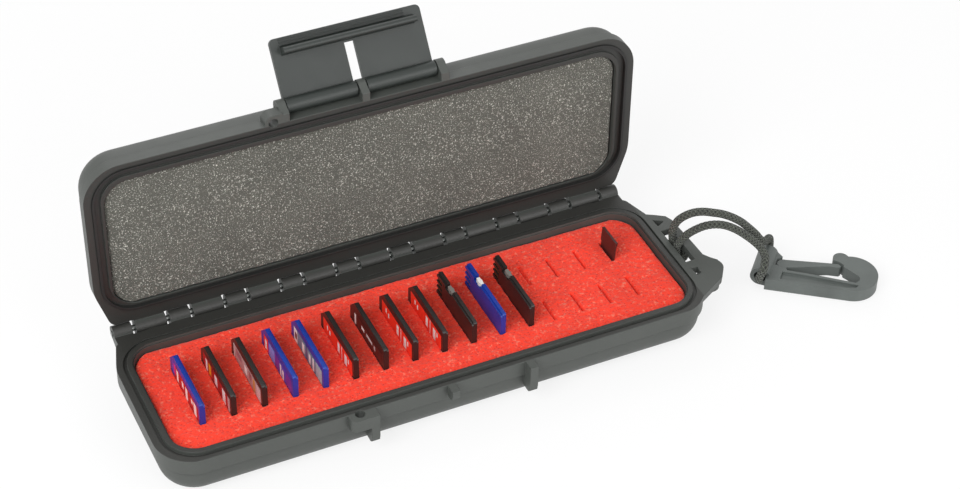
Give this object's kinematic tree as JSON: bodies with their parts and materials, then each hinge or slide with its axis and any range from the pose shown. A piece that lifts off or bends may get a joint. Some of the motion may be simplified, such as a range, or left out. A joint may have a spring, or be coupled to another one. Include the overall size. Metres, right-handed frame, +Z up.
{
  "type": "memory card case",
  "caption": "Hinged water-resistant case with a red foam bed that holds memory cards on edge, a foam-lined lid, a wide latch, padlock ears and a cord with a snap hook.",
  "frame": {"origin": "middle of the base's flat underside, under the middle of the card bed", "axes": "+X along the case towards the cord, +Y from the latch to the hinge, +Z up out of the open base"},
  "size_m": [0.2956, 0.1037, 0.1166],
  "materials": {
    "shell_plastic": "textured",
    "latch_plastic": "satin",
    "steel_pin": "bright",
    "seal_rubber": "satin",
    "red_foam": "open cell foam",
    "grey_foam": "open cell foam with light specks",
    "card_black": "satin",
    "card_blue": "satin",
    "tab_grey": "satin",
    "tab_white": "satin",
    "micro_card_plastic": "satin",
    "cord_braid": "braided",
    "hook_plastic": "satin"
  },
  "bodies": {
    "base": {"base_shell": "shell_plastic", "hinge_pin": "steel_pin", "card_foam": "red_foam", "lanyard_cord": "cord_braid", "lanyard_knot": "cord_braid", "snap_hook_body": "hook_plastic"},
    "lid": {"lid_shell": "shell_plastic", "lid_gasket": "seal_rubber", "lid_foam": "grey_foam", "latch_pin": "steel_pin"},
    "latch": {"latch": "latch_plastic"},
    "card_01": {"sd_card_01": "card_blue"},
    "card_02": {"sd_card_02": "card_black"},
    "card_03": {"sd_card_03": "card_black"},
    "card_04": {"sd_card_04": "card_blue"},
    "card_05": {"sd_card_05": "card_blue"},
    "card_06": {"sd_card_06": "card_black"},
    "card_07": {"sd_card_07": "card_black"},
    "card_08": {"sd_card_08": "card_black"},
    "card_09": {"sd_card_09": "card_black"},
    "card_10": {"sd_card_10": "card_black"},
    "card_11": {"sd_card_11": "card_blue"},
    "card_12": {"sd_card_12": "card_black"},
    "tab_01": {"lock_tab_01": "tab_grey"},
    "tab_02": {"lock_tab_02": "tab_grey"},
    "tab_03": {"lock_tab_03": "tab_grey"},
    "tab_04": {"lock_tab_04": "tab_grey"},
    "tab_05": {"lock_tab_05": "tab_grey"},
    "tab_06": {"lock_tab_06": "tab_grey"},
    "tab_07": {"lock_tab_07": "tab_grey"},
    "tab_08": {"lock_tab_08": "tab_grey"},
    "tab_09": {"lock_tab_09": "tab_grey"},
    "tab_10": {"lock_tab_10": "tab_grey"},
    "tab_11": {"lock_tab_11": "tab_white"},
    "tab_12": {"lock_tab_12": "tab_grey"},
    "micro_card": {"micro_sd_card": "micro_card_plastic"},
    "gate": {"snap_gate": "hook_plastic"}
  },
  "joints": [
    {"name": "lid_hinge", "type": "hinge", "parent": "base", "child": "lid", "pos_m": [0, 0.0409, 0.0189], "axis": [-1, 0, 0], "range_deg": [-91, 0], "deforming": ["lid_foam"]},
    {"name": "latch_pivot", "type": "hinge", "parent": "lid", "child": "latch", "pos_m": [0, 0.04807, 0.09729], "axis": [-1, 0, 0], "range_deg": [-125, 0]},
    {"name": "card_01_slide", "type": "slide", "parent": "base", "child": "card_01", "axis": [0, 0, 1], "range_m": [0, 0.03]},
    {"name": "card_02_slide", "type": "slide", "parent": "base", "child": "card_02", "axis": [0, 0, 1], "range_m": [0, 0.03]},
    {"name": "card_03_slide", "type": "slide", "parent": "base", "child": "card_03", "axis": [0, 0, 1], "range_m": [0, 0.03]},
    {"name": "card_04_slide", "type": "slide", "parent": "base", "child": "card_04", "axis": [0, 0, 1], "range_m": [0, 0.03]},
    {"name": "card_05_slide", "type": "slide", "parent": "base", "child": "card_05", "axis": [0, 0, 1], "range_m": [0, 0.03]},
    {"name": "card_06_slide", "type": "slide", "parent": "base", "child": "card_06", "axis": [0, 0, 1], "range_m": [0, 0.03]},
    {"name": "card_07_slide", "type": "slide", "parent": "base", "child": "card_07", "axis": [0, 0, 1], "range_m": [0, 0.03]},
    {"name": "card_08_slide", "type": "slide", "parent": "base", "child": "card_08", "axis": [0, 0, 1], "range_m": [0, 0.03]},
    {"name": "card_09_slide", "type": "slide", "parent": "base", "child": "card_09", "axis": [0, 0, 1], "range_m": [0, 0.03]},
    {"name": "card_10_slide", "type": "slide", "parent": "base", "child": "card_10", "axis": [0, 0, 1], "range_m": [0, 0.03]},
    {"name": "card_11_slide", "type": "slide", "parent": "base", "child": "card_11", "axis": [0, 0, 1], "range_m": [0, 0.03]},
    {"name": "card_12_slide", "type": "slide", "parent": "base", "child": "card_12", "axis": [0, 0, 1], "range_m": [0, 0.03]},
    {"name": "tab_01_slide", "type": "slide", "parent": "card_01", "child": "tab_01", "axis": [0, 1, 0], "range_m": [0, 0.0012]},
    {"name": "tab_02_slide", "type": "slide", "parent": "card_02", "child": "tab_02", "axis": [0, 1, 0], "range_m": [0, 0.0012]},
    {"name": "tab_03_slide", "type": "slide", "parent": "card_03", "child": "tab_03", "axis": [0, 1, 0], "range_m": [0, 0.0012]},
    {"name": "tab_04_slide", "type": "slide", "parent": "card_04", "child": "tab_04", "axis": [0, 1, 0], "range_m": [0, 0.0012]},
    {"name": "tab_05_slide", "type": "slide", "parent": "card_05", "child": "tab_05", "axis": [0, 1, 0], "range_m": [0, 0.0012]},
    {"name": "tab_06_slide", "type": "slide", "parent": "card_06", "child": "tab_06", "axis": [0, 1, 0], "range_m": [0, 0.0012]},
    {"name": "tab_07_slide", "type": "slide", "parent": "card_07", "child": "tab_07", "axis": [0, 1, 0], "range_m": [0, 0.0012]},
    {"name": "tab_08_slide", "type": "slide", "parent": "card_08", "child": "tab_08", "axis": [0, 1, 0], "range_m": [0, 0.0012]},
    {"name": "tab_09_slide", "type": "slide", "parent": "card_09", "child": "tab_09", "axis": [0, 1, 0], "range_m": [0, 0.0012]},
    {"name": "tab_10_slide", "type": "slide", "parent": "card_10", "child": "tab_10", "axis": [0, 1, 0], "range_m": [0, 0.0012]},
    {"name": "tab_11_slide", "type": "slide", "parent": "card_11", "child": "tab_11", "axis": [0, 1, 0], "range_m": [0, 0.0012]},
    {"name": "tab_12_slide", "type": "slide", "parent": "card_12", "child": "tab_12", "axis": [0, 1, 0], "range_m": [0, 0.0012]},
    {"name": "micro_card_slide", "type": "slide", "parent": "base", "child": "micro_card", "axis": [0.0698, 0, 0.9976], "range_m": [0, 0.015]},
    {"name": "snap_gate_pivot", "type": "hinge", "parent": "base", "child": "gate", "pos_m": [0.15382, -0.01191, 0.003], "axis": [0, 0, -1], "range_deg": [0, 15], "stiffness_Nm_per_rad": 0.02, "springref_deg": -2.86}
  ]
}
